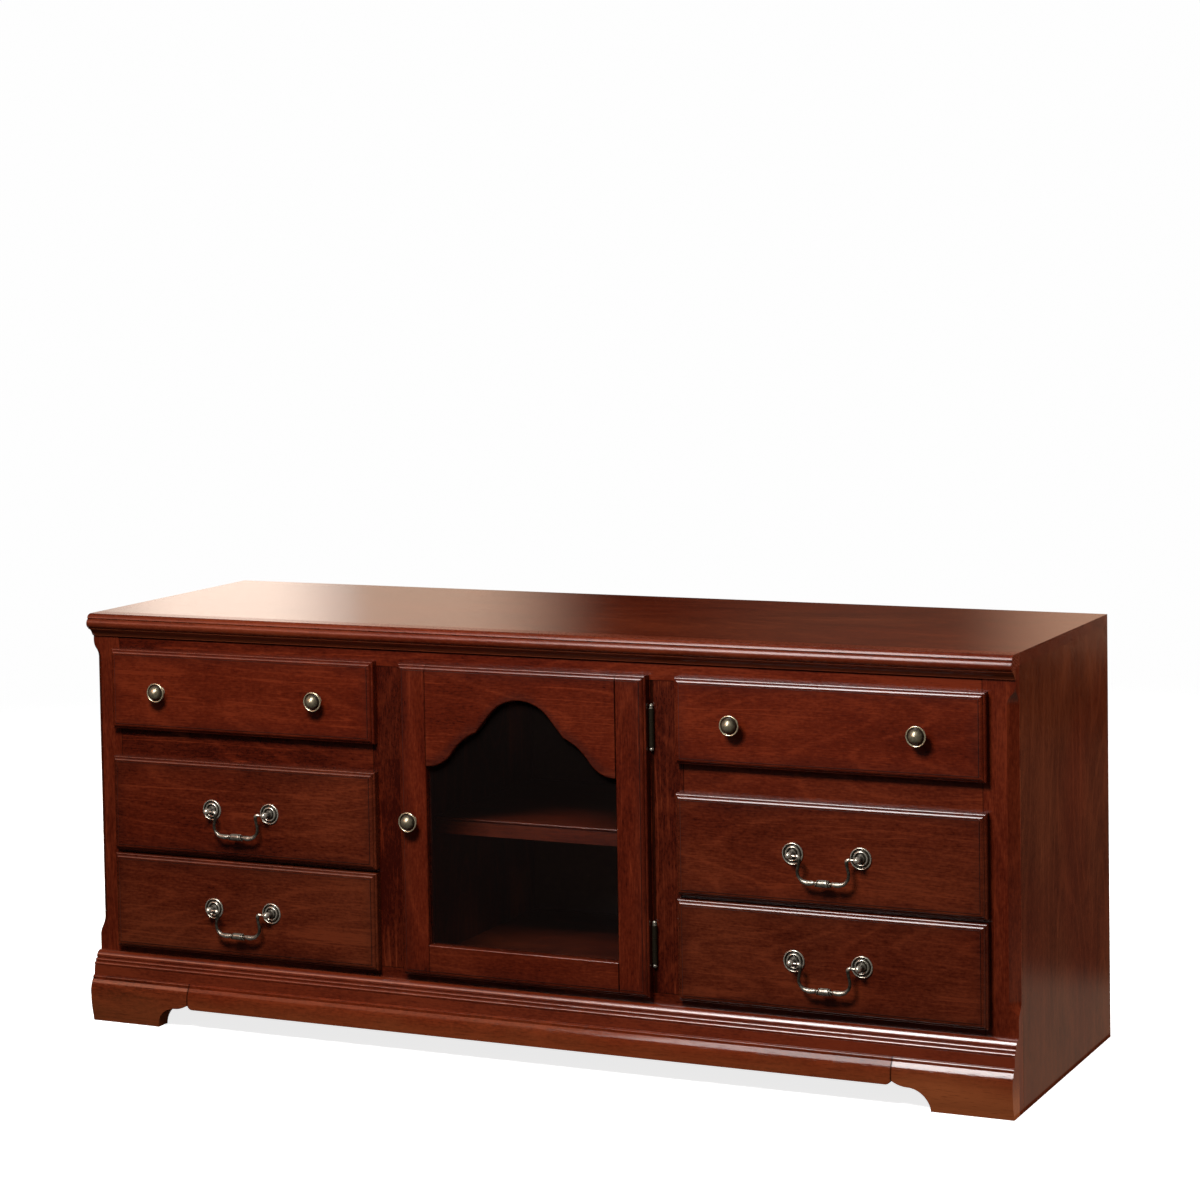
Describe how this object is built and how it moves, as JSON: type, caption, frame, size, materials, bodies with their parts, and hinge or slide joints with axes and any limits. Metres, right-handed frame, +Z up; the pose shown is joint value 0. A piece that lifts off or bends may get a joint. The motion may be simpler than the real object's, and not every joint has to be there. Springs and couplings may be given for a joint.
{
  "type": "tv stand",
  "caption": "Long low wooden media cabinet with a moulded top, lipped drawers on both sides of an arched glass door, bail pulls and bracket feet.",
  "frame": {"origin": "middle of the footprint, on the floor", "axes": "+X to the right along the front, +Y to the back, +Z up; the drawers open towards -Y"},
  "size_m": [1.575, 0.5274, 0.672],
  "materials": {
    "wood_top": "semi-gloss stain and lacquer",
    "wood_moulding": "semi-gloss stain and lacquer",
    "wood_side": "semi-gloss stain and lacquer",
    "wood_upright": "semi-gloss stain and lacquer",
    "wood_level": "semi-gloss stain and lacquer",
    "wood_front": "semi-gloss stain and lacquer",
    "wood_inside": "satin stain",
    "wood_box": "clear sealed",
    "wood_rough": "planed",
    "back_board": "smooth board",
    "glass": "clear",
    "aged_metal": "antiqued, rubbed bright on the high parts",
    "hinge_metal": "antiqued",
    "catch_plastic": "moulded",
    "steel": "plated"
  },
  "bodies": {
    "cabinet": {"top_panel": "wood_top", "top_nosing": "wood_top", "cove_moulding": "wood_moulding", "side_panel_left": "wood_side", "side_panel_right": "wood_side", "partition_left": "wood_inside", "partition_right": "wood_inside", "bottom_panel": "wood_inside", "back_panel": "back_board", "back_screws": "steel", "stile_left": "wood_upright", "stile_right": "wood_upright", "mullion_left": "wood_upright", "mullion_right": "wood_upright", "top_rail": "wood_level", "bottom_rail": "wood_level", "drawer_rails": "wood_level", "base_moulding": "wood_moulding", "base_apron": "wood_moulding", "foot_left": "wood_moulding", "foot_right": "wood_moulding", "glue_blocks": "wood_rough", "shelf": "wood_inside", "shelf_pins": "steel", "drawer_runners": "wood_rough", "hinge_frame_leaves": "hinge_metal", "hinge_pins": "hinge_metal", "door_catch": "catch_plastic"},
    "door": {"door_stile_left": "wood_upright", "door_stile_right": "wood_upright", "door_top_rail": "wood_level", "door_bottom_rail": "wood_level", "door_glass": "glass", "glass_stops": "wood_level", "hinge_door_leaves": "hinge_metal", "door_knob": "aged_metal", "catch_plate": "steel"},
    "drawer_upper_left": {"drawer_front_upper_left": "wood_front", "drawer_box_upper_left": "wood_box", "knobs_upper_left": "aged_metal"},
    "drawer_middle_left": {"drawer_front_middle_left": "wood_front", "drawer_box_middle_left": "wood_box", "bail_posts_middle_left": "aged_metal"},
    "bail_middle_left": {"bail_middle_left": "aged_metal"},
    "drawer_lower_left": {"drawer_front_lower_left": "wood_front", "drawer_box_lower_left": "wood_box", "bail_posts_lower_left": "aged_metal"},
    "bail_lower_left": {"bail_lower_left": "aged_metal"},
    "drawer_upper_right": {"drawer_front_upper_right": "wood_front", "drawer_box_upper_right": "wood_box", "knobs_upper_right": "aged_metal"},
    "drawer_middle_right": {"drawer_front_middle_right": "wood_front", "drawer_box_middle_right": "wood_box", "bail_posts_middle_right": "aged_metal"},
    "bail_middle_right": {"bail_middle_right": "aged_metal"},
    "drawer_lower_right": {"drawer_front_lower_right": "wood_front", "drawer_box_lower_right": "wood_box", "bail_posts_lower_right": "aged_metal"},
    "bail_lower_right": {"bail_lower_right": "aged_metal"}
  },
  "joints": [
    {"name": "door_hinge", "type": "hinge", "parent": "cabinet", "child": "door", "pos_m": [0.2165, -0.22025, 0.2045], "axis": [0, 0, 1], "range_deg": [0, 90]},
    {"name": "drawer_upper_left_slide", "type": "slide", "parent": "cabinet", "child": "drawer_upper_left", "axis": [0, -1, 0], "range_m": [0, 0.3]},
    {"name": "drawer_middle_left_slide", "type": "slide", "parent": "cabinet", "child": "drawer_middle_left", "axis": [0, -1, 0], "range_m": [0, 0.3]},
    {"name": "bail_middle_left_swing", "type": "hinge", "parent": "drawer_middle_left", "child": "bail_middle_left", "pos_m": [-0.50175, -0.25125, 0.36262], "axis": [-1, 0, 0], "range_deg": [0, 90]},
    {"name": "drawer_lower_left_slide", "type": "slide", "parent": "cabinet", "child": "drawer_lower_left", "axis": [0, -1, 0], "range_m": [0, 0.3]},
    {"name": "bail_lower_left_swing", "type": "hinge", "parent": "drawer_lower_left", "child": "bail_lower_left", "pos_m": [-0.50175, -0.25125, 0.20194], "axis": [-1, 0, 0], "range_deg": [0, 90]},
    {"name": "drawer_upper_right_slide", "type": "slide", "parent": "cabinet", "child": "drawer_upper_right", "axis": [0, -1, 0], "range_m": [0, 0.3]},
    {"name": "drawer_middle_right_slide", "type": "slide", "parent": "cabinet", "child": "drawer_middle_right", "axis": [0, -1, 0], "range_m": [0, 0.3]},
    {"name": "bail_middle_right_swing", "type": "hinge", "parent": "drawer_middle_right", "child": "bail_middle_right", "pos_m": [0.50175, -0.25125, 0.36262], "axis": [-1, 0, 0], "range_deg": [0, 90]},
    {"name": "drawer_lower_right_slide", "type": "slide", "parent": "cabinet", "child": "drawer_lower_right", "axis": [0, -1, 0], "range_m": [0, 0.3]},
    {"name": "bail_lower_right_swing", "type": "hinge", "parent": "drawer_lower_right", "child": "bail_lower_right", "pos_m": [0.50175, -0.25125, 0.20194], "axis": [-1, 0, 0], "range_deg": [0, 90]}
  ]
}
